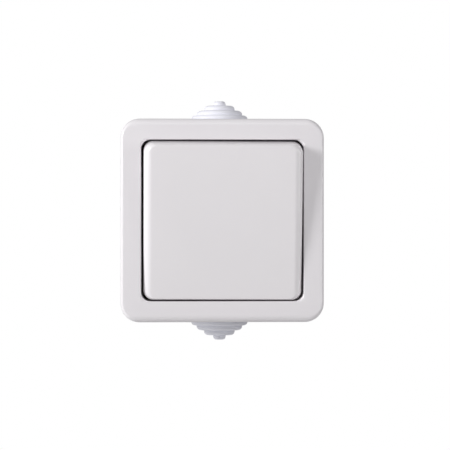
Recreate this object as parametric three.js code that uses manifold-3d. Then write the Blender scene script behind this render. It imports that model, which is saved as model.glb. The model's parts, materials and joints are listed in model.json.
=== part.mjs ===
// Surface-mounted rocker wall switch, one gang, splash-proof, with a stepped rubber cable gland above and below.
//
// Lengths are millimetres. Everything is laid out in the wall's own frame: x to the right, y up the wall and
// z out of the wall, with z = 0 on the wall. The last group turns that frame so that +Z is up and the switch
// faces -Y. The origin is the centre of the face that lies on the wall.
import * as THREE from "three";
import { mergeVertices } from "three/addons/utils/BufferGeometryUtils.js";
import Module from "manifold-3d";

const wasm = await Module();
wasm.setup();

// ---------------------------------------------------------------- driving dimensions

const FRAME_SIZE = 72; // outside of the square front frame
const FRAME_FRONT = 44; // the frame's front face, above the wall
const PIVOT_HEIGHT = FRAME_FRONT - 4.5; // the rocker's axis, above the wall
const ROCKER_TILT = THREE.MathUtils.degToRad(6); // each way from level; at rest the upper edge stands out
const LEVER_PIVOT_HEIGHT = 20.2; // the contact lever's fulcrum, above the wall
const LEVER_TILT = THREE.MathUtils.degToRad(8); // each way from level; at rest the contacts are open

const FIT = 0.15; // between flat faces that rest on each other
const GAP = 0.3; // between nested pieces

const frame = {
  corner: 6.8,
  edge: 2.5, // rounding of the outer front edge
  back: 28, // rear edge of the skirt, above the wall
  wall: 1.7,
  face: 2.4,
};
const opening = { width: 57.4, height: 57, corner: 3.3, chamfer: 0.8 };
const tray = { wall: 1.5, top: 33.8, floor: 1.5, holeWidth: 31, holeHeight: 37, holeCorner: 2 };
const box = { size: FRAME_SIZE - 4, corner: 5.2, height: 33, wall: 2, back: 2.2 };
const entry = { height: 16, radius: 10.3 }; // cable entries through the upper and lower walls
const glandSteps = [ // from the tip to the root, with heights above the box's wall
  { flat: 1.3, radius: 2.3, top: 9.65, foot: 7.95 },
  { flat: 4.3, radius: 5.6, top: 7.95, foot: 6.15 },
  { flat: 6.8, radius: 8.35, top: 6.15, foot: 4.35 },
  { flat: 9.2, radius: 10.35, top: 4.35, foot: 2.4 },
];
const rocker = {
  width: 56.1, // at the skirt's rear edge
  height: 56.2,
  corner: 3.4,
  edge: 2.8, // rounding between the face and the left and right sides
  endEdge: 0.6, // how far the same rounding reaches into the face at its upper and lower ends
  rise: 7.5, // from the pivot to the front face
  skirt: 1.5, // from the pivot back to the skirt's rear edge
  face: 2.2,
  wall: 1.6,
  slope: { x: 0.02, y: 0.07 }, // inward slope of the sides, per unit of height
};
const carrier = { width: 18.8, height: 14.2, top: 4.6, bottom: 4.5, sleeve: 14, sleeveRadius: 3.75 };
const plunger = { radius: 2, top: 9.5, shoulder: 16.3, tip: 18.4, nose: 1.3 };
const spring = { radius: 1.65, wire: 0.3, top: 3.8, bottom: 9.2, turns: 5 };
const axle = { radius: 1.2, length: 26.4 };
const cheek = { inner: 10, thickness: 2.8, baseHalf: 5.5, topRadius: 2.8 };
const mechanism = { width: 34, height: 40, corner: 1.5, wall: 3, back: 8, floor: 2.4, front: 22 };
const bridge = { thickness: 1, earSpan: 57, earHeight: 13, windowWidth: 16, windowHeight: 34.8 };
const cover = { thickness: 2.2, rim: 1.5, rimTop: 30 };
const terminal = { height: 10.7, thickness: 1.2, width: 8, screwAt: 14.3, end: 16.6 };
const lever = { thickness: 0.8, halfWidth: 3.3, contactEnd: 10.4, freeEnd: 8, contactAt: 8.5 };
const contact = { radius: 1.7, height: 1.2 };

// Derived levels above the wall.
const bridgeBack = mechanism.front + FIT;
const bridgeFront = bridgeBack + bridge.thickness;
const coverBack = bridgeFront + FIT;
const coverFront = coverBack + cover.thickness;
const trayBack = tray.top - tray.floor;
const boxSealTop = box.height + 1.55;

// Places of the fasteners on the wall's plane.
const mechanismScrewX = 24;
const coverScrewAt = 22; // upper right and lower left
const wallScrewAt = 21; // upper left and lower right
const rivetPlaces = [[-13.7, 16.5], [13.7, -16.5]];

// ---------------------------------------------------------------- materials

const plastic = (color, roughness) => new THREE.MeshStandardMaterial({ color, roughness, metalness: 0 });
const metal = (color, roughness) => new THREE.MeshStandardMaterial({ color, roughness, metalness: 1 });

const materials = {
  frame: plastic(0xe4e2e5, 0.32),
  rocker: plastic(0xe6e4e5, 0.28),
  box: plastic(0xdedcdf, 0.45),
  gland: plastic(0xdfe1ea, 0.6),
  seal: plastic(0x2c2829, 0.8),
  housing: plastic(0xcfcac2, 0.55),
  carrier: plastic(0xdad7d2, 0.5),
  steel: metal(0xb9bbbd, 0.35),
  brass: metal(0xc9a452, 0.35),
  silver: metal(0xd6d6d4, 0.25),
};

// ---------------------------------------------------------------- solids: joining, cutting and basic forms

/** A closed geometry as a solid that can be joined and cut. */
function solid(geometry) {
  const bare = new THREE.BufferGeometry();
  const flat = geometry.index ? geometry.toNonIndexed() : geometry;
  bare.setAttribute("position", flat.getAttribute("position"));
  const merged = mergeVertices(bare, 1e-4);
  return new wasm.Manifold(
    new wasm.Mesh({
      numProp: 3,
      vertProperties: merged.attributes.position.array,
      triVerts: new Uint32Array(merged.index.array),
    }),
  );
}

/** A named mesh of a solid. */
function part(name, body, material) {
  const { vertProperties, triVerts } = body.getMesh();
  const geometry = new THREE.BufferGeometry();
  geometry.setAttribute("position", new THREE.BufferAttribute(vertProperties, 3));
  geometry.setIndex(new THREE.BufferAttribute(triVerts, 1));
  geometry.computeVertexNormals();
  const mesh = new THREE.Mesh(geometry, material);
  mesh.name = name;
  return mesh;
}

const join = (first, ...others) => others.reduce((whole, other) => whole.add(other), first);
const cut = (first, ...tools) => tools.reduce((rest, tool) => rest.subtract(tool), first);

/** The outline of a rectangle with round corners, centred on the origin. */
function roundedRectangle(width, height, radius) {
  const x = width / 2 - radius;
  const y = height / 2 - radius;
  const quarter = Math.PI / 2;
  const outline = new THREE.Shape();
  outline.absarc(x, y, radius, 0, quarter);
  outline.absarc(-x, y, radius, quarter, 2 * quarter);
  outline.absarc(-x, -y, radius, 2 * quarter, 3 * quarter);
  outline.absarc(x, -y, radius, 3 * quarter, 4 * quarter);
  outline.closePath();
  return outline;
}

/** A plate with round corners between two levels. */
function plate(width, height, radius, back, front, curveSegments = 5) {
  const geometry = new THREE.ExtrudeGeometry(roundedRectangle(width, height, radius), {
    depth: front - back,
    bevelEnabled: false,
    curveSegments,
  });
  return solid(geometry.translate(0, 0, back));
}

/** A plate whose front edge is rounded: the rounding at the back is cut off. */
function cushion(width, height, radius, edge, back, front, curveSegments = 6) {
  const geometry = new THREE.ExtrudeGeometry(
    roundedRectangle(width - 2 * edge, height - 2 * edge, radius - edge),
    {
      depth: front - back,
      bevelThickness: edge,
      bevelSize: edge,
      bevelSegments: 4,
      curveSegments,
    },
  );
  const body = solid(geometry.translate(0, 0, back - edge));
  return cut(body, block(-width, width, -height, height, back - 3 * edge, back));
}

function block(left, right, low, high, back, front) {
  const geometry = new THREE.BoxGeometry(right - left, high - low, front - back);
  return solid(geometry.translate((left + right) / 2, (low + high) / 2, (back + front) / 2));
}

/** A round bar along z. */
function rod(radius, back, front, x = 0, y = 0, sides = 20) {
  const geometry = new THREE.CylinderGeometry(radius, radius, front - back, sides);
  return solid(geometry.rotateX(Math.PI / 2).translate(x, y, (back + front) / 2));
}

/** A round bar along x, centred on x = 0. */
function crossRod(radius, length, height, sides = 20) {
  const geometry = new THREE.CylinderGeometry(radius, radius, length, sides);
  return solid(geometry.rotateZ(Math.PI / 2).translate(0, 0, height));
}

/** A round bar along y between two levels of y. */
function uprightRod(radius, low, high, x, height, sides = 24) {
  const geometry = new THREE.CylinderGeometry(radius, radius, high - low, sides);
  return solid(geometry.translate(x, (low + high) / 2, height));
}

/** A ring between two rounded rectangles. */
function ring(outerWidth, outerHeight, outerRadius, width, back, front) {
  const inner = plate(
    outerWidth - 2 * width,
    outerHeight - 2 * width,
    Math.max(outerRadius - width, 0.5),
    back - 1,
    front + 1,
  );
  return cut(plate(outerWidth, outerHeight, outerRadius, back, front), inner);
}

/** A profile drawn in (y, z), as wide as it says along x, from one side to the other. */
function slabAlongX(points, left, right) {
  const outline = new THREE.Shape(points.map(([y, z]) => new THREE.Vector2(y, z)));
  const geometry = new THREE.ExtrudeGeometry(outline, { depth: right - left, bevelEnabled: false });
  const turn = new THREE.Matrix4().makeBasis(
    new THREE.Vector3(0, 1, 0),
    new THREE.Vector3(0, 0, 1),
    new THREE.Vector3(1, 0, 0),
  );
  return solid(geometry.applyMatrix4(turn).translate(left, 0, 0));
}

/** A screw along z: pan head with a cross or a single slot, and a plain shank. */
function screw(name, { x, y, seat, tip, headRadius, headHeight, shankRadius, slots }, material) {
  const slotHalf = 0.45;
  const slotDepth = headHeight * 0.5;
  const reach = headRadius * (slots === 2 ? 0.7 : 1.2);
  const top = seat + headHeight;
  const slotAcross = block(x - reach, x + reach, y - slotHalf, y + slotHalf, top - slotDepth, top + 1);
  const slotUp = block(x - slotHalf, x + slotHalf, y - reach, y + reach, top - slotDepth, top + 1);
  const body = join(rod(headRadius, seat, top, x, y), rod(shankRadius, tip, seat + 0.5, x, y, 12));
  return part(name, slots === 2 ? cut(body, slotAcross, slotUp) : cut(body, slotAcross), material);
}

// ---------------------------------------------------------------- fixed pieces

/** The box on the wall: open at the front, with a round cable entry above and below. */
function backBox() {
  const inside = box.size - 2 * box.wall;
  const shell = cut(
    plate(box.size, box.size, box.corner, 0, box.height, 6),
    plate(inside, inside, box.corner - box.wall, box.back, box.height + 1, 6),
  );
  const post = (x, y, radius, top) => rod(radius, box.back - 1, top, x, y, 18);
  const pilot = (x, y, low, top) => rod(1.6, low, top + 1, x, y, 18);
  const mechanismPostTop = mechanism.front;
  const coverPostTop = trayBack - GAP;
  const whole = join(
    shell,
    post(mechanismScrewX, 0, 3.2, mechanismPostTop),
    post(-mechanismScrewX, 0, 3.2, mechanismPostTop),
    post(coverScrewAt, coverScrewAt, 3.3, coverPostTop),
    post(-coverScrewAt, -coverScrewAt, 3.3, coverPostTop),
  );
  // Shallow recesses in the back leave a rim, a cross and a pad round each wall-screw hole lying on the wall.
  const recess = (x, y) => plate(27, 27, 2, -1, 0.7).translate([x, y, 0]);
  const pad = (x, y) => rod(5.8, -2, 2, x, y, 24);
  const recessOffset = 16;
  const recesses = cut(
    join(
      recess(recessOffset, recessOffset),
      recess(-recessOffset, recessOffset),
      recess(recessOffset, -recessOffset),
      recess(-recessOffset, -recessOffset),
    ),
    pad(-wallScrewAt, wallScrewAt),
    pad(wallScrewAt, -wallScrewAt),
  );
  const body = cut(
    whole,
    recesses,
    pilot(mechanismScrewX, 0, 9, mechanismPostTop),
    pilot(-mechanismScrewX, 0, 9, mechanismPostTop),
    pilot(coverScrewAt, coverScrewAt, 17, coverPostTop),
    pilot(-coverScrewAt, -coverScrewAt, 17, coverPostTop),
    rod(3.4, -1, box.back + 1, -wallScrewAt, wallScrewAt),
    rod(3.4, -1, box.back + 1, wallScrewAt, -wallScrewAt),
    uprightRod(entry.radius, inside / 2 - 1, box.size / 2 + 1, 0, entry.height, 32),
    uprightRod(entry.radius, -box.size / 2 - 1, -inside / 2 + 1, 0, entry.height, 32),
  );
  return part("back_box", body, materials.box);
}

/** One step of a gland, from the rim of its flat top down its rounded edge to the step below. */
function roundedStep({ flat, radius, top, foot }) {
  const drop = 1.35;
  const edge = [0, 30, 60, 90].map((degrees) => {
    const angle = THREE.MathUtils.degToRad(degrees);
    return [flat + (radius - flat) * Math.sin(angle), top - drop * (1 - Math.cos(angle))];
  });
  return [...edge, [radius, foot]];
}

/** A stepped rubber cable gland that snaps into an entry. Its tip is closed until a cable is pushed through. */
function cableGland(name, side) {
  const wallInside = -box.wall;
  const outside = glandSteps.flatMap(roundedStep);
  const root = [
    [11.6, glandSteps.at(-1).foot], [11.6, FIT], [entry.radius - GAP, FIT],
    [entry.radius - GAP, wallInside - FIT], [12, wallInside - FIT], [12, wallInside - 1.7],
  ];
  const inside = [
    [8.9, wallInside - 1.7], [8.9, 2.6], [7.1, 2.6], [7.1, 4.4], [4.5, 4.4], [4.5, 6.2],
    [1.1, 6.2], [1.1, 8.4], [0, 8.4],
  ];
  const profile = [[0, glandSteps[0].top], ...outside, ...root, ...inside]
    .map(([radius, height]) => new THREE.Vector2(radius, height)).reverse();
  const mesh = part(name, solid(new THREE.LatheGeometry(profile, 24)), materials.gland);
  mesh.position.set(0, (side * box.size) / 2, entry.height);
  mesh.rotation.z = side > 0 ? 0 : Math.PI;
  return mesh;
}

/** The seal on the box's rim, which the front frame presses on. */
function boxSeal() {
  const width = 1.1;
  return part("box_seal", ring(box.size - 1, box.size - 1, box.corner - 0.5, width, box.height + FIT,
    boxSealTop), materials.seal);
}

/** The front frame: a skirt over the box, a front face, and a tray that the rocker sinks into. */
function frontFrame() {
  const inside = FRAME_SIZE - 2 * frame.wall;
  const trayWidth = opening.width + 2 * tray.wall;
  const trayHeight = opening.height + 2 * tray.wall;
  const ledge = boxSealTop + FIT; // presses on the seal
  const faceBack = FRAME_FRONT - frame.face;
  const insideCorner = frame.corner - frame.wall;
  const trayCorner = opening.corner + tray.wall;
  const below = frame.back - 1;
  const rimInside = box.size - 2 * box.wall;
  const skirtHollow = cut(
    plate(inside, inside, insideCorner, below, ledge, 6),
    plate(trayWidth, trayHeight, trayCorner, trayBack, ledge + 1),
  );
  const ledgeHollow = cut(
    plate(rimInside, rimInside, insideCorner - 2, ledge - 0.5, faceBack),
    plate(trayWidth, trayHeight, trayCorner, ledge - 1, faceBack + 1),
  );
  const chamfer = new THREE.ExtrudeGeometry(roundedRectangle(opening.width, opening.height, opening.corner), {
    depth: 1,
    bevelSize: opening.chamfer,
    bevelThickness: opening.chamfer,
    bevelSegments: 1,
    curveSegments: 5,
  }).translate(0, 0, FRAME_FRONT);
  const body = cut(
    cushion(FRAME_SIZE, FRAME_SIZE, frame.corner, frame.edge, frame.back, FRAME_FRONT),
    skirtHollow,
    ledgeHollow,
    plate(opening.width, opening.height, opening.corner, tray.top, FRAME_FRONT + 1),
    solid(chamfer),
    plate(tray.holeWidth, tray.holeHeight, tray.holeCorner, trayBack - 1, tray.top + 1, 3),
    rod(1.75, trayBack - 1, tray.top + 1, coverScrewAt, coverScrewAt, 16),
    rod(1.75, trayBack - 1, tray.top + 1, -coverScrewAt, -coverScrewAt, 16),
  );
  return part("front_frame", body, materials.frame);
}

/** The seal on the tray's floor, under the rocker's skirt. */
function traySeal() {
  const outer = [opening.width - 2 * GAP, opening.height - 2 * GAP, opening.corner - GAP];
  return part("tray_seal", ring(...outer, 2.9, tray.top + FIT, tray.top + 1), materials.seal);
}

/** The seal between the mechanism's rim and the underside of the tray. */
function mechanismSeal() {
  return part("mechanism_seal", ring(mechanism.width, mechanism.height, mechanism.corner, cover.rim,
    cover.rimTop + FIT, trayBack - FIT), materials.seal);
}

/** The rubber seal in a wall-screw hole. */
function wallScrewSeal(name, x, y) {
  const body = cut(
    join(rod(5.4, box.back + FIT, box.back + 1.5, x, y, 18), rod(3.1, 0.5, box.back + 1, x, y, 18)),
    rod(1.7, -1, 6, x, y, 12),
  );
  return part(name, body, materials.seal);
}

/** The insulating body that holds the terminals, open at the front. */
function mechanismHousing() {
  const { width, height, corner, wall, back, floor, front } = mechanism;
  const cavity = plate(width - 2 * wall, height - 2 * wall, 0.6, back + floor, front + 1, 2);
  const cornerBlock = ([x, y]) => block(
    x - 2.6, x + 2.6, y - 2.8, y + 2.8, back + 1, front,
  );
  const wirePlaces = [-5.7, 5.7];
  const wireHole = (x, side) => uprightRod(
    1.5, side > 0 ? height / 2 - 5 : -height / 2 - 1, side > 0 ? height / 2 + 1 : -height / 2 + 5,
    x, terminal.height + 2.7, 12,
  );
  const body = cut(
    join(cut(plate(width, height, corner, back, front, 3), cavity), ...rivetPlaces.map(cornerBlock)),
    ...rivetPlaces.map(([x, y]) => rod(1.15, back - 1, front + 1, x, y, 12)),
    ...wirePlaces.flatMap((x) => [wireHole(x, 1), wireHole(x, -1)]),
  );
  return part("mechanism_housing", body, materials.housing);
}

/** The steel strap that carries the mechanism on two posts of the box. */
function mountingBridge() {
  const slot = (x) => plate(5.6, 3.6, 1.7, bridgeBack - 1, bridgeFront + 1, 3).translate([x, 0, 0]);
  const body = cut(
    join(
      plate(mechanism.width, mechanism.height, mechanism.corner, bridgeBack, bridgeFront, 3),
      plate(bridge.earSpan, bridge.earHeight, 2, bridgeBack, bridgeFront, 3),
    ),
    plate(bridge.windowWidth, bridge.windowHeight, 1, bridgeBack - 1, bridgeFront + 1, 2),
    slot(mechanismScrewX),
    slot(-mechanismScrewX),
    ...rivetPlaces.map(([x, y]) => rod(1.2, bridgeBack - 1, bridgeFront + 1, x, y, 12)),
  );
  return part("mounting_bridge", body, materials.steel);
}

/** The cover of the mechanism, with a rim for its seal and two cheeks that hold the rocker's axle. */
function mechanismCover() {
  const { inner, thickness, baseHalf, topRadius } = cheek;
  const roundTop = Array.from({ length: 9 }, (_, i) => {
    const angle = (Math.PI * i) / 8;
    return [topRadius * Math.cos(angle), PIVOT_HEIGHT + topRadius * Math.sin(angle)];
  });
  const outline = [[-baseHalf, coverFront - 1], [baseHalf, coverFront - 1], ...roundTop];
  const body = cut(
    join(
      plate(mechanism.width, mechanism.height, mechanism.corner, coverBack, coverFront, 3),
      ring(mechanism.width, mechanism.height, mechanism.corner, cover.rim, coverFront - 1, cover.rimTop),
      slabAlongX(outline, inner, inner + thickness),
      slabAlongX(outline, -inner - thickness, -inner),
    ),
    block(-5.5, 5.5, -7, 7, coverBack - 1, coverFront + 1),
    rod(3.2, coverBack - 1, coverFront + 1, 0, terminal.screwAt),
    rod(3.2, coverBack - 1, coverFront + 1, 0, -terminal.screwAt),
    crossRod(axle.radius + 0.1, 2 * (inner + thickness) + 4, PIVOT_HEIGHT),
    ...rivetPlaces.map(([x, y]) => rod(1.2, coverBack - 1, coverFront + 1, x, y, 12)),
  );
  return part("mechanism_cover", body, materials.housing);
}

/** A rivet that clamps the cover, the bridge and the housing together. */
function mechanismRivet(name, x, y) {
  const back = mechanism.back - FIT;
  const front = coverFront + FIT;
  const body = join(
    rod(1.7, front, front + 0.8, x, y, 14),
    rod(0.95, back - 0.4, front + 0.4, x, y, 14),
    rod(1.7, back - 0.8, back, x, y, 14),
  );
  return part(name, body, materials.steel);
}

/** The brass terminal above the middle, bent up into the fulcrum that the contact lever rocks on. */
function commonTerminal() {
  const back = terminal.height;
  const front = back + terminal.thickness;
  const top = LEVER_PIVOT_HEIGHT - GAP;
  const half = terminal.width / 2;
  const fulcrum = [[-0.6, back], [0.6, back], [0.6, top - 0.6], [0, top], [-0.6, top - 0.6]];
  const body = cut(
    join(block(-half, half, -0.6, terminal.end, back, front), slabAlongX(fulcrum, -2.3, 2.3)),
    rod(1.9, back - 1, front + 1, 0, terminal.screwAt, 14),
  );
  return part("common_terminal", body, materials.brass);
}

/** The brass terminal below the middle, with a shelf for the fixed contact. */
function loadTerminal() {
  const back = terminal.height;
  const front = back + terminal.thickness;
  const half = terminal.width / 2;
  const shelf = { back: 15, front: 16, outer: -10.4, riserOuter: -6.2 };
  const profile = [
    [-terminal.end, back], [shelf.riserOuter, back], [shelf.riserOuter, shelf.front],
    [shelf.outer, shelf.front], [shelf.outer, shelf.back],
    [shelf.riserOuter - terminal.thickness, shelf.back],
    [shelf.riserOuter - terminal.thickness, front], [-terminal.end, front],
  ];
  const body = cut(
    slabAlongX(profile, -half, half),
    rod(1.9, back - 1, front + 1, 0, -terminal.screwAt, 14),
  );
  return part("load_terminal", body, materials.brass);
}

/** The silver contact riveted on the load terminal's shelf. */
function fixedContact() {
  const seat = 16 + FIT;
  return part("fixed_contact", rod(contact.radius, seat, seat + 1.1, 0, -8.3, 18), materials.silver);
}

/** The square washer that presses a wire on its terminal. */
function clampPlate(name, side) {
  const y = side * terminal.screwAt;
  const back = terminal.height + 3.9;
  const body = cut(block(-3.6, 3.6, y - 2.7, y + 2.7, back, back + 1.3), rod(1.9, back - 1, back + 3, 0, y, 14));
  return part(name, body, materials.steel);
}

function terminalScrew(name, side) {
  return screw(name, {
    x: 0,
    y: side * terminal.screwAt,
    seat: terminal.height + 3.9 + 1.3 + FIT,
    tip: terminal.height + 0.1,
    headRadius: 2.6,
    headHeight: 2.2,
    shankRadius: 1.6,
    slots: 1,
  }, materials.steel);
}

function mechanismScrew(name, side) {
  return screw(name, {
    x: side * mechanismScrewX,
    y: 0,
    seat: bridgeFront + FIT,
    tip: 11,
    headRadius: 3,
    headHeight: 2,
    shankRadius: 1.4,
    slots: 2,
  }, materials.steel);
}

function coverScrew(name, side) {
  return screw(name, {
    x: side * coverScrewAt,
    y: side * coverScrewAt,
    seat: tray.top + FIT,
    tip: 19,
    headRadius: 2.8,
    headHeight: 2,
    shankRadius: 1.4,
    slots: 2,
  }, materials.steel);
}

// ---------------------------------------------------------------- the rocker and what tilts with it
// These are drawn about the pivot: z = 0 is the axle's height.

/** Keeps the ends of the rocker's face nearly square, and draws its sides inwards towards the front. */
function shaped(body) {
  const { width, height, edge, endEdge, rise, skirt, slope } = rocker;
  return body.warp((point) => {
    const intoEdge = Math.min(Math.max(point[2] - (rise - edge), 0), edge);
    const inset = edge - Math.sqrt(edge ** 2 - intoEdge ** 2);
    const undone = inset * (1 - endEdge / edge);
    const aboveSkirt = point[2] + skirt;
    point[0] *= 1 - (2 * slope.x * aboveSkirt) / width;
    point[1] *= (1 + undone / (height / 2 - inset)) * (1 - (2 * slope.y * aboveSkirt) / height);
  });
}

/** The rocker: a shell with a rounded front edge and two snap legs behind its middle. */
function rockerCap() {
  const { width, height, corner, edge, rise, skirt, face, wall } = rocker;
  const shell = cut(
    cushion(width, height, corner, edge, -skirt, rise),
    plate(width - 2 * wall, height - 2 * wall, corner - wall, -skirt - 1, rise - face),
  );
  const legWidth = 5;
  const legs = [1, -1].map((side) => slabAlongX(
    [[4.2, rise - face + 0.5], [4.2, -5.8], [5.2, -5.8], [6.3, -5], [5.6, -4.7], [5.6, rise - face + 0.5]]
      .map(([y, z]) => [side * y, z]),
    -legWidth / 2,
    legWidth / 2,
  ));
  const ribs = [-12.5, 12.5].map((x) => cut(
    block(x - 0.6, x + 0.6, -26.5, 26.5, 1.5, rise - face + 0.5),
    block(x - 1, x + 1, -9, 9, 0, rise - face),
  ));
  const body = join(shaped(shell), ...legs, ...ribs);
  return part("rocker", body, materials.rocker);
}

/** The carrier that turns on the axle: sockets for the rocker's legs and a sleeve for the plunger. */
function rockerCarrier() {
  const { width, height, top, bottom, sleeve, sleeveRadius } = carrier;
  const socket = (side) => block(-2.8, 2.8, side > 0 ? 3.9 : -5.9, side > 0 ? 5.9 : -3.9, -bottom - 1, top + 1);
  const body = cut(
    join(
      plate(width, height, 1.2, -bottom, top, 2),
      rod(sleeveRadius, -sleeve, -bottom + 1),
    ),
    socket(1),
    socket(-1),
    rod(plunger.radius + GAP, -sleeve - 1, -spring.top + GAP, 0, 0, 18),
    crossRod(axle.radius + 0.2, width + 2, 0),
  );
  return part("rocker_carrier", body, materials.carrier);
}

/** The steel axle, held in the two cheeks. */
function pivotAxle() {
  return part("pivot_axle", crossRod(axle.radius, axle.length, PIVOT_HEIGHT), materials.steel);
}

/** The sprung pin that slides across the contact lever. */
function contactPlunger() {
  const { radius, top, shoulder, tip, nose } = plunger;
  const noseArc = Array.from({ length: 5 }, (_, i) => {
    const angle = (Math.PI / 2) * (i / 4);
    return [nose * Math.cos(angle), tip - nose + nose * Math.sin(angle)];
  });
  noseArc[noseArc.length - 1][0] = 0;
  const profile = [[0, top], [radius, top], [radius, shoulder], ...noseArc]
    .map(([x, y]) => new THREE.Vector2(x, y));
  const geometry = new THREE.LatheGeometry(profile, 18).rotateX(-Math.PI / 2);
  return part("plunger", solid(geometry), materials.carrier);
}

/** The coil spring behind the plunger. */
class Helix extends THREE.Curve {
  getPoint(t) {
    const angle = 2 * Math.PI * spring.turns * t;
    const depth = spring.top + spring.wire + (spring.bottom - spring.top - 2 * spring.wire) * t;
    return new THREE.Vector3(spring.radius * Math.cos(angle), spring.radius * Math.sin(angle), -depth);
  }
}

function plungerSpring() {
  const section = new THREE.Shape().absarc(0, 0, spring.wire, 0, 2 * Math.PI);
  const geometry = new THREE.ExtrudeGeometry(section, {
    extrudePath: new Helix(),
    steps: spring.turns * 12,
    curveSegments: 3,
    bevelEnabled: false,
  });
  return part("plunger_spring", solid(geometry), materials.steel);
}

// ---------------------------------------------------------------- the contact lever
// Drawn about its fulcrum: z = 0 is its underside.

/** The brass lever that rocks on the fulcrum, with two ears that keep it there. */
function contactLever() {
  const { thickness, halfWidth, contactEnd, freeEnd } = lever;
  const ear = (left) => block(left, left + 0.7, -1.5, 1.5, -1.6, thickness / 2);
  const body = join(
    block(-halfWidth, halfWidth, -contactEnd, freeEnd, 0, thickness),
    ear(halfWidth - 0.7),
    ear(-halfWidth),
  );
  return part("contact_lever", body, materials.brass);
}

/** The silver contact under the lever's lower end. */
function movingContact() {
  return part("moving_contact", rod(contact.radius, -contact.height - FIT, -FIT, 0, -lever.contactAt, 18),
    materials.silver);
}

// ---------------------------------------------------------------- assembly

const tilting = new THREE.Group();
tilting.position.z = PIVOT_HEIGHT;
tilting.rotation.x = ROCKER_TILT;
tilting.add(rockerCap(), rockerCarrier(), contactPlunger(), plungerSpring());

const rocking = new THREE.Group();
rocking.position.z = LEVER_PIVOT_HEIGHT;
rocking.rotation.x = -LEVER_TILT;
rocking.add(contactLever(), movingContact());

const wallSwitch = new THREE.Group();
wallSwitch.rotation.x = Math.PI / 2;
wallSwitch.add(
  backBox(),
  cableGland("upper_cable_gland", 1),
  cableGland("lower_cable_gland", -1),
  boxSeal(),
  frontFrame(),
  traySeal(),
  mechanismSeal(),
  wallScrewSeal("upper_wall_screw_seal", -wallScrewAt, wallScrewAt),
  wallScrewSeal("lower_wall_screw_seal", wallScrewAt, -wallScrewAt),
  mechanismHousing(),
  mountingBridge(),
  mechanismCover(),
  ...rivetPlaces.map(([x, y], i) => mechanismRivet(`mechanism_rivet_${i + 1}`, x, y)),
  commonTerminal(),
  loadTerminal(),
  fixedContact(),
  clampPlate("common_clamp_plate", 1),
  clampPlate("load_clamp_plate", -1),
  terminalScrew("common_terminal_screw", 1),
  terminalScrew("load_terminal_screw", -1),
  mechanismScrew("right_mechanism_screw", 1),
  mechanismScrew("left_mechanism_screw", -1),
  coverScrew("upper_cover_screw", 1),
  coverScrew("lower_cover_screw", -1),
  pivotAxle(),
  tilting,
  rocking,
);

export default wallSwitch;
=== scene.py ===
import json
import math

import bmesh
import bpy
from mathutils import Matrix, Vector


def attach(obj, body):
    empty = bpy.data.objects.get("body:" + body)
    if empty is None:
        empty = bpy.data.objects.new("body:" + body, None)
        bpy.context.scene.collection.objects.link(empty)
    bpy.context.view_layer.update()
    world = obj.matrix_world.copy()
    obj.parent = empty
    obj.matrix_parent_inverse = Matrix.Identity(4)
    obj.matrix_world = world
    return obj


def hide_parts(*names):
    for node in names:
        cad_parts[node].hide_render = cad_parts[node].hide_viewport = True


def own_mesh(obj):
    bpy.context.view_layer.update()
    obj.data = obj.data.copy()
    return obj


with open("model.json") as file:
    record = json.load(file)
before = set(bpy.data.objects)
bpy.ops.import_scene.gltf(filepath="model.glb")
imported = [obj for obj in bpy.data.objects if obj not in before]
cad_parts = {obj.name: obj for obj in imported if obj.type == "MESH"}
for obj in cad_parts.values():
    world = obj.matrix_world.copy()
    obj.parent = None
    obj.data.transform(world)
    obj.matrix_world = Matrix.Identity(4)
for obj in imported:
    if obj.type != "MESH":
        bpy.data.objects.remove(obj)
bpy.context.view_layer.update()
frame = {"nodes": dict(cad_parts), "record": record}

# ---------------------------------------------------------------- dimensions of the design, in mm
# Pieces are drawn in the wall's own frame: x to the right, y up the wall and z out of the wall.

MM = 0.001
FRAME_HALF = 36.0
FRAME_FRONT = 44.0
FRAME_BACK = 28.0
FRAME_CORNER = 6.8
FRAME_EDGE = 2.5
FRAME_SIDE_EDGE = 1.0
OPENING_HALF = (28.7, 28.5)
OPENING_CORNER = 3.3
OPENING_EDGE = 0.25
OPENING_EDGE_DEPTH = 0.9
OPENING_FACE_CORNER = 1.2  # tighter than the hole's own corner, so that the rounding widens there
FACE_CROWN = 1.5  # degrees of slope where the face meets the rounding
FACE_DROP = 0.06
TRAY_TOP = 33.8
TRAY_BACK = 32.3
TRAY_HOLE = (15.5, 18.5)
TRAY_HOLE_CORNER = 2.0
SKIRT_ROUNDING = 0.3
FRAME_INSIDE = (  # half width, half height, corner and height of the hollow, from the tray outwards
    (30.2, 30.0, 4.8, TRAY_BACK),
    (30.2, 30.0, 4.8, 41.6),
    (32.0, 32.0, 3.1, 41.6),
    (32.0, 32.0, 3.1, 34.7),
    (34.3, 34.3, 5.1, 34.7),
    (34.3, 34.3, 5.1, FRAME_BACK),
)
BOX_HALF = 34.0
ENTRY_HEIGHT = 16.0
PIVOT_HEIGHT = 39.5
TILT = math.radians(6.0)
ROCKER_HALF = (28.12, 28.18)
ROCKER_RISE = 7.48
ROCKER_SKIRT = -1.5
ROCKER_EDGE = 2.9
ROCKER_END_EDGE = 0.6
ROCKER_CORNER = 3.4
ROCKER_FACE_CORNER = 1.8
ROCKER_SLOPE = (0.02, 0.07)
ROCKER_PLAY = 0.15
ROCKER_SKEW = math.radians(-0.2)
ROCKER_RIM = 0.25
ROCKER_WALL = 1.6
ROCKER_FACE_THICKNESS = 2.2
RIB_AT = 12.5
RIB_HALF_WIDTH = 0.6
RIB_SPANS = ((-26.0, -9.0), (9.0, 26.0))
RIB_HEIGHTS = (1.5, 5.25)
LEG_HALF_WIDTH = 2.5
LEG_OUTLINE = ((4.2, 5.25), (4.2, -5.8), (5.2, -5.8), (6.3, -5.0), (5.6, -4.7), (5.6, 5.25))
COVER_SCREW_AT = 22.0
COVER_SCREW_HOLE = 1.75
SPRING_RADIUS = 1.65
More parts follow.
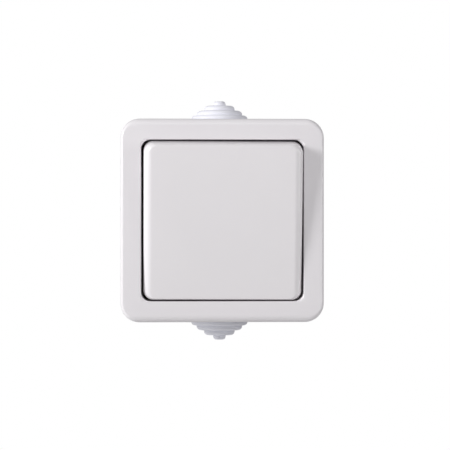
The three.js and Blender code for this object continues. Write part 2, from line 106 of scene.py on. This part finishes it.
SPRING_WIRE = 0.3
SPRING_TURNS = 5
SPRING_DEPTHS = (3.8, 9.2)  # behind the pivot
SMOOTH_ANGLE = math.radians(32)

WALL_TO_WORLD = Matrix.Rotation(math.pi / 2, 4, "X")
TILTED = WALL_TO_WORLD @ Matrix.Translation((0, 0, PIVOT_HEIGHT * MM)) @ Matrix.Rotation(TILT, 4, "X")
IN_PLAY = TILTED @ Matrix.Translation((ROCKER_PLAY * MM, 0, 0)) @ Matrix.Rotation(ROCKER_SKEW, 4, "Z")


# ---------------------------------------------------------------- mesh building

def rounded_loop(half_x, half_y, radius, height, per_corner=14):
    """The points of a rectangle with round corners at one height, anticlockwise."""
    points = []
    centres = ((1, 1), (-1, 1), (-1, -1), (1, -1))
    for quadrant, (sx, sy) in enumerate(centres):
        for i in range(per_corner + 1):
            angle = math.pi / 2 * (quadrant + i / per_corner)
            x = sx * (half_x - radius) + radius * math.cos(angle)
            y = sy * (half_y - radius) + radius * math.sin(angle)
            points.append((x, y, height))
    return points


def circle_loop(radius, height, count=72):
    """The points of a circle at one height."""
    turns = [2 * math.pi * i / count for i in range(count)]
    return [(radius * math.cos(turn), radius * math.sin(turn), height) for turn in turns]


def arc(centre, radius, start, end, steps):
    """Points (across, height) on an arc, with angles in degrees."""
    points = []
    for i in range(steps + 1):
        angle = math.radians(start + (end - start) * i / steps)
        points.append((centre[0] + radius * math.cos(angle), centre[1] + radius * math.sin(angle)))
    return points


def loft(loops, closed=False):
    """A mesh through loops of equally many points, closed into a ring or capped at both ends."""
    mesh = bmesh.new()
    rows = [[mesh.verts.new(point) for point in points] for points in loops]
    pairs = list(zip(rows, rows[1:]))
    if closed:
        pairs.append((rows[-1], rows[0]))
    for lower, upper in pairs:
        count = len(lower)
        for i in range(count):
            j = (i + 1) % count
            mesh.faces.new((lower[i], lower[j], upper[j], upper[i]))
    if not closed:
        mesh.faces.new(rows[0][::-1])
        mesh.faces.new(rows[-1])
    return mesh


def add_box(mesh, low, high):
    """Adds a closed box to a mesh."""
    corners = [
        mesh.verts.new((x, y, z))
        for z in (low[2], high[2])
        for x, y in ((low[0], low[1]), (high[0], low[1]), (high[0], high[1]), (low[0], high[1]))
    ]
    sides = ((0, 3, 2, 1), (4, 5, 6, 7), (0, 1, 5, 4), (1, 2, 6, 5), (2, 3, 7, 6), (3, 0, 4, 7))
    for side in sides:
        mesh.faces.new([corners[i] for i in side])


def finish_mesh(mesh, name, to_world):
    """Turns a mesh drawn in millimetres into an object, smooth everywhere but at its sharp edges."""
    bmesh.ops.remove_doubles(mesh, verts=mesh.verts, dist=1e-5)
    bmesh.ops.recalc_face_normals(mesh, faces=mesh.faces)
    for face in mesh.faces:
        face.smooth = True
    for edge in mesh.edges:
        if len(edge.link_faces) == 2 and edge.calc_face_angle() > SMOOTH_ANGLE:
            edge.smooth = False
    data = bpy.data.meshes.new(name)
    mesh.to_mesh(data)
    mesh.free()
    data.transform(to_world @ Matrix.Scale(MM, 4))
    piece = bpy.data.objects.new(name, data)
    bpy.context.scene.collection.objects.link(piece)
    return piece


def even_normals(piece):
    """Lets the large flat faces set the shading next to the rounded edges."""
    modifier = piece.modifiers.new("even normals", "WEIGHTED_NORMAL")
    modifier.keep_sharp = True
    modifier.weight = 80


def drill(piece, cutters):
    """Cuts holes into a piece."""
    for cutter in cutters:
        modifier = piece.modifiers.new("hole", "BOOLEAN")
        modifier.operation = "DIFFERENCE"
        modifier.solver = "EXACT"
        modifier.object = cutter
    evaluated = piece.evaluated_get(bpy.context.evaluated_depsgraph_get())
    data = bpy.data.meshes.new_from_object(evaluated)
    piece.modifiers.clear()
    piece.data = data
    for cutter in cutters:
        bpy.data.objects.remove(cutter)


def bar(radius, low, high, x, y, count=32):
    """A round cutter along the wall's z."""
    mesh = loft([circle_loop(radius, low, count), circle_loop(radius, high, count)])
    return finish_mesh(mesh, "cutter", WALL_TO_WORLD @ Matrix.Translation((x * MM, y * MM, 0)))


# ---------------------------------------------------------------- materials

def new_material(name):
    """A material with its node tree and its shader."""
    material = bpy.data.materials.new(name)
    material.use_nodes = True
    tree = material.node_tree
    return material, tree, tree.nodes["Principled BSDF"]


def noise(tree, scale, detail=2.0, stretch=(1, 1, 1)):
    """A noise in the object's own space; scale is in periods per metre."""
    coordinates = tree.nodes.new("ShaderNodeTexCoord")
    mapping = tree.nodes.new("ShaderNodeMapping")
    mapping.inputs["Scale"].default_value = stretch
    texture = tree.nodes.new("ShaderNodeTexNoise")
    texture.inputs["Scale"].default_value = scale
    texture.inputs["Detail"].default_value = detail
    tree.links.new(coordinates.outputs["Object"], mapping.inputs["Vector"])
    tree.links.new(mapping.outputs["Vector"], texture.inputs["Vector"])
    return texture.outputs["Fac"]


def tinted(tree, shader, factor, dark, light):
    """Lets the colour drift between two near tones."""
    ramp = tree.nodes.new("ShaderNodeValToRGB")
    ramp.color_ramp.elements[0].position = 0.3
    ramp.color_ramp.elements[0].color = (*dark, 1)
    ramp.color_ramp.elements[1].position = 0.7
    ramp.color_ramp.elements[1].color = (*light, 1)
    tree.links.new(factor, ramp.inputs["Fac"])
    tree.links.new(ramp.outputs["Color"], shader.inputs["Base Color"])


def varied_roughness(tree, shader, factor, low, high):
    """Lets the roughness drift between two values."""
    span = tree.nodes.new("ShaderNodeMapRange")
    span.inputs["From Min"].default_value = 0.3
    span.inputs["From Max"].default_value = 0.7
    span.inputs["To Min"].default_value = low
    span.inputs["To Max"].default_value = high
    tree.links.new(factor, span.inputs["Value"])
    tree.links.new(span.outputs["Result"], shader.inputs["Roughness"])


def relief(tree, shader, edge, layers):
    """Stacks bumps on softened edges; each layer is (height, strength, depth in metres)."""
    softened = tree.nodes.new("ShaderNodeBevel")
    softened.samples = 6
    softened.inputs["Radius"].default_value = edge
    normal = softened.outputs["Normal"]
    for height, strength, depth in layers:
        bump = tree.nodes.new("ShaderNodeBump")
        bump.inputs["Strength"].default_value = strength
        bump.inputs["Distance"].default_value = depth
        tree.links.new(height, bump.inputs["Height"])
        tree.links.new(normal, bump.inputs["Normal"])
        normal = bump.outputs["Normal"]
    tree.links.new(normal, shader.inputs["Normal"])


def moulded(name, dark, light, roughness, grain, grain_depth, waviness=0.0, coat=0.0, edge=0.00015):
    """Moulded plastic or rubber: faint clouds, a fine grain and, where glossy, a slight waviness."""
    material, tree, shader = new_material(name)
    shader.inputs["IOR"].default_value = 1.5
    shader.inputs["Coat Weight"].default_value = coat
    shader.inputs["Coat Roughness"].default_value = 0.12
    cloud = noise(tree, 45.0, 3.0)
    fine = noise(tree, grain, 2.0)
    tinted(tree, shader, cloud, dark, light)
    varied_roughness(tree, shader, noise(tree, grain / 12, 2.0), *roughness)
    layers = [(fine, 0.5, grain_depth)]
    if waviness:
        layers.append((noise(tree, 110.0, 1.0), 0.4, waviness))
    relief(tree, shader, edge, layers)
    return material


def worked_metal(name, dark, light, roughness, stretch):
    """Stamped or turned metal: a faint drift in colour, and streaks along one direction in roughness
    and relief.
    """
    material, tree, shader = new_material(name)
    shader.inputs["Metallic"].default_value = 1.0
    streaks = noise(tree, 900.0, 3.0, stretch)
    tinted(tree, shader, noise(tree, 160.0, 3.0), dark, light)
    varied_roughness(tree, shader, streaks, *roughness)
    relief(tree, shader, 0.0001, [(streaks, 0.3, 0.00002)])
    return material


materials = {
    "frame_plastic": moulded(
        "frame plastic", (0.778, 0.752, 0.776), (0.788, 0.762, 0.786), (0.30, 0.40),
        2600.0, 0.000008, waviness=0.00002, coat=0.15,
    ),
    "rocker_plastic": moulded(
        "rocker plastic", (0.800, 0.774, 0.794), (0.810, 0.784, 0.804), (0.28, 0.35),
        2600.0, 0.000003, waviness=0.00002, coat=0.2,
    ),
    "box_plastic": moulded(
        "box plastic", (0.755, 0.732, 0.752), (0.785, 0.762, 0.782), (0.46, 0.58),
        2200.0, 0.00002, edge=0.0005,
    ),
    "mechanism_plastic": moulded(
        "mechanism plastic", (0.56, 0.54, 0.50), (0.62, 0.60, 0.55), (0.5, 0.62),
        1800.0, 0.00002,
    ),
    "carrier_plastic": moulded(
        "carrier plastic", (0.66, 0.64, 0.60), (0.71, 0.69, 0.65), (0.42, 0.55),
        1800.0, 0.00001,
    ),
    "gland_rubber": moulded(
        "gland rubber", (0.775, 0.775, 0.84), (0.815, 0.815, 0.88), (0.5, 0.62),
        1500.0, 0.00003,
    ),
    # The seal is real dark rubber, but its dark reddish tone is partly painted shade: it darkens the
    # gap round the rocker, which is deep shade.
    "seal_rubber": moulded(
        "seal rubber and gap shade", (0.055, 0.022, 0.020), (0.070, 0.030, 0.028), (0.6, 0.75),
        1500.0, 0.00003,
    ),
    "steel": worked_metal(
        "steel", (0.56, 0.57, 0.58), (0.66, 0.67, 0.68), (0.28, 0.42), (1, 1, 0.06),
    ),
    "terminal_brass": worked_metal(
        "brass", (0.66, 0.50, 0.24), (0.74, 0.58, 0.30), (0.25, 0.4), (1, 0.06, 1),
    ),
    "contact_silver": worked_metal(
        "silver", (0.78, 0.78, 0.76), (0.86, 0.86, 0.84), (0.2, 0.34), (1, 1, 0.3),
    ),
}


def paint(piece, slot):
    """Gives a piece the one material of its record slot."""
    piece.data.materials.clear()
    piece.data.materials.append(materials[slot])


for subpart in frame["record"]["subparts"]:
    paint(frame["nodes"][subpart["node"]], subpart["material_slot"])


def place(piece, body, slot, *nodes):
    """Gives a piece the material of its record slot and its body, and hides the CAD nodes that it
    stands for.
    """
    paint(piece, slot)
    even_normals(piece)
    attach(piece, body)
    if nodes:
        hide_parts(*nodes)


# ---------------------------------------------------------------- front frame

def frame_wall():
    """Loops of the skirt's rear edge, the wall and the rounding into the face, tighter at the sides."""
    loops = []
    for across, height in arc((0, 0), SKIRT_ROUNDING, -90, 0, 3):
        half = FRAME_HALF - SKIRT_ROUNDING + across
        corner = FRAME_CORNER - SKIRT_ROUNDING + across
        loops.append(rounded_loop(half, half, corner, FRAME_BACK + SKIRT_ROUNDING + height))
    rounding_base = FRAME_FRONT - FACE_DROP - FRAME_EDGE
    for across, height in arc((0, 0), 1.0, 0, 90 - FACE_CROWN, 12):
        inset = 1 - across
        loops.append(rounded_loop(
            FRAME_HALF - FRAME_SIDE_EDGE * inset,
            FRAME_HALF - FRAME_EDGE * inset,
            FRAME_CORNER - FRAME_EDGE * inset,
            rounding_base + FRAME_EDGE * height,
        ))
    return loops


def frame_face():
    """Loops of the front face, which rises slightly from its rounded edge to the opening."""
    outer = (FRAME_HALF - FRAME_SIDE_EDGE, FRAME_HALF - FRAME_EDGE)
    outer_corner = FRAME_CORNER - FRAME_EDGE
    loops = []
    for i in range(1, 7):
        share = i / 7
        halves = [
            start + (end + OPENING_EDGE - start) * share
            for start, end in zip(outer, OPENING_HALF)
        ]
        corner = outer_corner + (OPENING_FACE_CORNER - outer_corner) * share
        loops.append(rounded_loop(*halves, corner, FRAME_FRONT - FACE_DROP * (1 - share) ** 2))
    return loops


def opening_edge():
    """The rounding from the front face into the opening, and the tray's wall."""
    loops = []
    for across, height in arc((0, 0), 1.0, 90, 180, 7):
        corner = OPENING_FACE_CORNER + (OPENING_CORNER - OPENING_FACE_CORNER) * -across
        halves = [half + OPENING_EDGE * (1 + across) for half in OPENING_HALF]
        loops.append(rounded_loop(*halves, corner, FRAME_FRONT - OPENING_EDGE_DEPTH * (1 - height)))
    return loops + [rounded_loop(*OPENING_HALF, OPENING_CORNER, TRAY_TOP)]


def front_frame():
    """The frame with the tray behind its opening, and the holes of the cover screws."""
    hole = [rounded_loop(*TRAY_HOLE, TRAY_HOLE_CORNER, height) for height in (TRAY_TOP, TRAY_BACK)]
    inside = [rounded_loop(*row) for row in FRAME_INSIDE]
    loops = frame_wall() + frame_face() + opening_edge() + hole + inside
    piece = finish_mesh(loft(loops, closed=True), "front_frame_shell", WALL_TO_WORLD)
    places = (COVER_SCREW_AT, -COVER_SCREW_AT)
    drill(piece, [bar(COVER_SCREW_HOLE, TRAY_BACK - 1.3, TRAY_TOP + 1.2, at, at) for at in places])
    return piece


place(front_frame(), "fixed", "frame_plastic", "front_frame")


# ---------------------------------------------------------------- rocker

def rocker_loop(inset, height, end_inset=None, corner=None):
    """A loop of the rocker's side at one height, inset from its outline at the sides and ends."""
    insets = (inset, inset if end_inset is None else end_inset)
    halves = [
        half - slope * (height - ROCKER_SKIRT) - inside
        for half, slope, inside in zip(ROCKER_HALF, ROCKER_SLOPE, insets)
    ]
    return rounded_loop(*halves, corner or ROCKER_CORNER - inset, height)


def rocker_shell():
    """The face, edges rounded at the sides and nearly square at the ends, and the hollow behind."""
    outside = []
    for across, height in arc((0, 0), 1.0, 90, 0, 12):
        inset = 1 - across
        outside.append(rocker_loop(
            ROCKER_EDGE * inset,
            ROCKER_RISE - ROCKER_EDGE * (1 - height),
            ROCKER_END_EDGE * inset,
            ROCKER_CORNER + (ROCKER_FACE_CORNER - ROCKER_CORNER) * inset,
        ))
    face = [
        [(x * share, y * share, z) for x, y, z in outside[0]]
        for share in (0.03, 0.3, 0.6, 0.85)
    ]
    rim = [
        rocker_loop(ROCKER_RIM - across, ROCKER_SKIRT + ROCKER_RIM + height)
        for across, height in arc((0, 0), ROCKER_RIM, 0, -90, 3)
    ]
    ceiling = ROCKER_RISE - ROCKER_FACE_THICKNESS
    inside = [rocker_loop(ROCKER_WALL, height) for height in (ROCKER_SKIRT, ceiling)]
    return loft(face + outside + rim + inside)


def rocker_ribs():
    """Four stiffening ribs behind the face."""
    mesh = bmesh.new()
    back, front = RIB_HEIGHTS
    for x in (-RIB_AT, RIB_AT):
        for low, high in RIB_SPANS:
            add_box(mesh, (x - RIB_HALF_WIDTH, low, back), (x + RIB_HALF_WIDTH, high, front))
    return mesh


def snap_leg(side):
    """A leg with a barb, drawn as an outline in (y, z) and given a width along x."""
    widths = (-LEG_HALF_WIDTH, LEG_HALF_WIDTH)
    return loft([[(x, side * y, z) for y, z in LEG_OUTLINE] for x in widths])


place(finish_mesh(rocker_shell(), "rocker_shell", IN_PLAY), "rocker", "rocker_plastic", "rocker")
place(finish_mesh(rocker_ribs(), "rocker_ribs", IN_PLAY), "rocker", "rocker_plastic")
for leg_name, leg_side in (("rocker_leg_upper", 1), ("rocker_leg_lower", -1)):
    place(finish_mesh(snap_leg(leg_side), leg_name, IN_PLAY), "rocker", "rocker_plastic")


# ---------------------------------------------------------------- plunger spring

def spring_coil():
    """Round wire along a helix behind the pivot, with one closed turn at each end."""
    front = SPRING_DEPTHS[0] + SPRING_WIRE
    back = SPRING_DEPTHS[1] - SPRING_WIRE
    closed_turn = 2.1 * SPRING_WIRE
    knots = (
        (0, front),
        (1, front + closed_turn),
        (SPRING_TURNS - 1, back - closed_turn),
        (SPRING_TURNS, back),
    )
    sections = []
    for (turn, depth), (next_turn, next_depth) in zip(knots, knots[1:]):
        slope = (next_depth - depth) / (next_turn - turn) / (2 * math.pi * SPRING_RADIUS)
        steps = 24 * (next_turn - turn)
        for i in range(steps + (next_turn == SPRING_TURNS)):
            angle = 2 * math.pi * (turn + i / 24)
            outward = Vector((math.cos(angle), math.sin(angle), 0))
            along = Vector((-math.sin(angle), math.cos(angle), -slope)).normalized()
            centre = outward * SPRING_RADIUS - Vector((0, 0, depth + (next_depth - depth) * i / steps))
            across = along.cross(outward)
            sections.append([
                centre + SPRING_WIRE * (math.cos(turned) * outward + math.sin(turned) * across)
                for turned in (2 * math.pi * j / 10 for j in range(10))
            ])
    return loft(sections)


coil = finish_mesh(spring_coil(), "plunger_coil", TILTED)
place(coil, "rocker", "steel", "plunger_spring")
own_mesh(coil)


# ---------------------------------------------------------------- cable glands

GLAND_TIP = 9.65
GLAND_STEPS = (  # radius of the flat top, full radius, top, foot
    (1.3, 2.3, GLAND_TIP, 7.95),
    (4.3, 5.6, 7.95, 6.15),
    (6.8, 8.35, 6.15, 4.35),
    (9.2, 10.35, 4.35, 2.4),
)
GLAND_DROP = 1.35
GLAND_BORE = (  # radius and height, from the root to the closed tip
    (8.9, -3.7), (8.9, 2.6), (7.1, 2.6), (7.1, 4.4),
    (4.5, 4.4), (4.5, 6.2), (1.1, 6.2), (1.1, 8.4),
)


def gland_profile():
    """Radii and heights from the closed tip, over the steps, round the root and up the hollow."""
    points = [(0.02, GLAND_TIP)]
    for flat, radius, top, foot in GLAND_STEPS:
        for i in range(9):
            angle = math.pi / 2 * i / 8
            drop = GLAND_DROP * (1 - math.cos(angle))
            points.append((flat + (radius - flat) * math.sin(angle), top - drop))
        points.append((radius - 0.05, foot))
    points += [(11.3, 2.4), (11.5, 2.3), (11.6, 2.1), (11.6, 0.15), (10.0, 0.15), (10.0, -2.15)]
    points += arc((11.7, -2.45), 0.3, 90, -90, 4)
    points += [(11.7, -3.7)]
    points += GLAND_BORE
    points += [(0.02, 8.4)]
    return points


def cable_gland(name, side):
    """A gland above the box for side 1, and below it for side -1."""
    mesh = loft([circle_loop(radius, height) for radius, height in gland_profile()])
    turn = Matrix.Rotation(math.pi / 2 * (1 - side), 4, "Y")
    to_world = Matrix.Translation((0, -ENTRY_HEIGHT * MM, side * BOX_HALF * MM)) @ turn
    return finish_mesh(mesh, name, to_world)


place(cable_gland("upper_gland_rubber", 1), "fixed", "gland_rubber", "upper_cable_gland")
place(cable_gland("lower_gland_rubber", -1), "fixed", "gland_rubber", "lower_cable_gland")


# ---------------------------------------------------------------- camera, light and floor

CAMERA_DISTANCE = 0.69
CAMERA_YAW = math.radians(2.4)
CAMERA_AIM = (0.85 * MM, 0, -1.6 * MM)  # from the middle of the frame's face
VIEW_WIDTH = 158.715 * MM  # seen across the picture at the frame's face
SENSOR = 36.0
ROOM_LEFT = 0.5
ROOM_RIGHT = 0.1
LIGHTS = (  # name, degrees to the right, degrees upwards, distance, size and power
    ("key", -65, 17.0, 0.65, 0.2, 3.33),
    ("upper right", 50, 15, 0.5, 0.27, 0.55),
    ("right", 72, 3, 0.8, 0.3, 1.1),
    ("front", 0, 8.5, 0.8, 0.5, 0.2),
    ("top", 0, 40, 0.35, 0.15, 0.1),
    ("lower left", -88, -48, 0.6, 0.3, 0.9),
)
FLOOR_HALF = 1.2
FLOOR_LEVEL = -0.5


def aim(thing, position, target):
    """Places a thing and turns it to face a target."""
    thing.location = position
    thing.rotation_euler = (Vector(target) - Vector(position)).to_track_quat("-Z", "Y").to_euler()


def camera():
    """A camera slightly to the left of straight ahead."""
    data = bpy.data.cameras.new("camera")
    data.sensor_width = SENSOR
    data.lens = SENSOR * CAMERA_DISTANCE / VIEW_WIDTH
    thing = bpy.data.objects.new("camera", data)
    bpy.context.scene.collection.objects.link(thing)
    front = Vector((0, -FRAME_FRONT * MM, 0))
    away = Vector((-math.sin(CAMERA_YAW), -math.cos(CAMERA_YAW), 0))
    aim(thing, front + CAMERA_DISTANCE * away, front + Vector(CAMERA_AIM))
    bpy.context.scene.camera = thing


def softbox(name, side, elevation, distance, size, power):
    """A square light that faces the switch from an angle to the right and an angle upwards."""
    data = bpy.data.lights.new(name, "AREA")
    data.shape = "SQUARE"
    data.size = size
    data.energy = power
    thing = bpy.data.objects.new(name, data)
    bpy.context.scene.collection.objects.link(thing)
    side = math.radians(side)
    elevation = math.radians(elevation)
    level = math.cos(elevation)
    direction = Vector((level * math.sin(side), -level * math.cos(side), math.sin(elevation)))
    front = Vector((0, -FRAME_FRONT * MM, 0))
    aim(thing, front + direction * distance, front)


def studio_world():
    """A dim room, brighter on the left, seen as plain white by the camera."""
    world = bpy.data.worlds.new("studio")
    bpy.context.scene.world = world
    world.use_nodes = True
    tree = world.node_tree
    tree.nodes.clear()
    direction = tree.nodes.new("ShaderNodeTexCoord")
    split = tree.nodes.new("ShaderNodeSeparateXYZ")
    sideways = tree.nodes.new("ShaderNodeMapRange")
    sideways.inputs["From Min"].default_value = -1.0
    sideways.inputs["From Max"].default_value = 1.0
    sideways.inputs["To Min"].default_value = ROOM_LEFT
    sideways.inputs["To Max"].default_value = ROOM_RIGHT
    light = tree.nodes.new("ShaderNodeBackground")
    light.inputs["Color"].default_value = (1, 1, 1, 1)
    seen = tree.nodes.new("ShaderNodeBackground")
    seen.inputs["Color"].default_value = (1, 1, 1, 1)
    path = tree.nodes.new("ShaderNodeLightPath")
    mix = tree.nodes.new("ShaderNodeMixShader")
    output = tree.nodes.new("ShaderNodeOutputWorld")
    tree.links.new(direction.outputs["Generated"], split.inputs["Vector"])
    tree.links.new(split.outputs["X"], sideways.inputs["Value"])
    tree.links.new(sideways.outputs["Result"], light.inputs["Strength"])
    tree.links.new(path.outputs["Is Camera Ray"], mix.inputs["Fac"])
    tree.links.new(light.outputs["Background"], mix.inputs[1])
    tree.links.new(seen.outputs["Background"], mix.inputs[2])
    tree.links.new(mix.outputs["Shader"], output.inputs["Surface"])


def floor():
    """A plain grey floor, far below the switch."""
    mesh = bmesh.new()
    sides = ((-1, -1), (1, -1), (1, 1), (-1, 1))
    mesh.faces.new([mesh.verts.new((x * FLOOR_HALF, y * FLOOR_HALF, FLOOR_LEVEL)) for x, y in sides])
    data = bpy.data.meshes.new("floor")
    mesh.to_mesh(data)
    mesh.free()
    thing = bpy.data.objects.new("floor", data)
    bpy.context.scene.collection.objects.link(thing)
    material, tree, shader = new_material("floor")
    tinted(tree, shader, noise(tree, 6.0), (0.80, 0.80, 0.80), (0.84, 0.84, 0.84))
    shader.inputs["Roughness"].default_value = 0.8
    data.materials.append(material)


camera()
studio_world()
for light in LIGHTS:
    softbox(*light)
floor()
bpy.context.scene.view_settings.view_transform = "Standard"
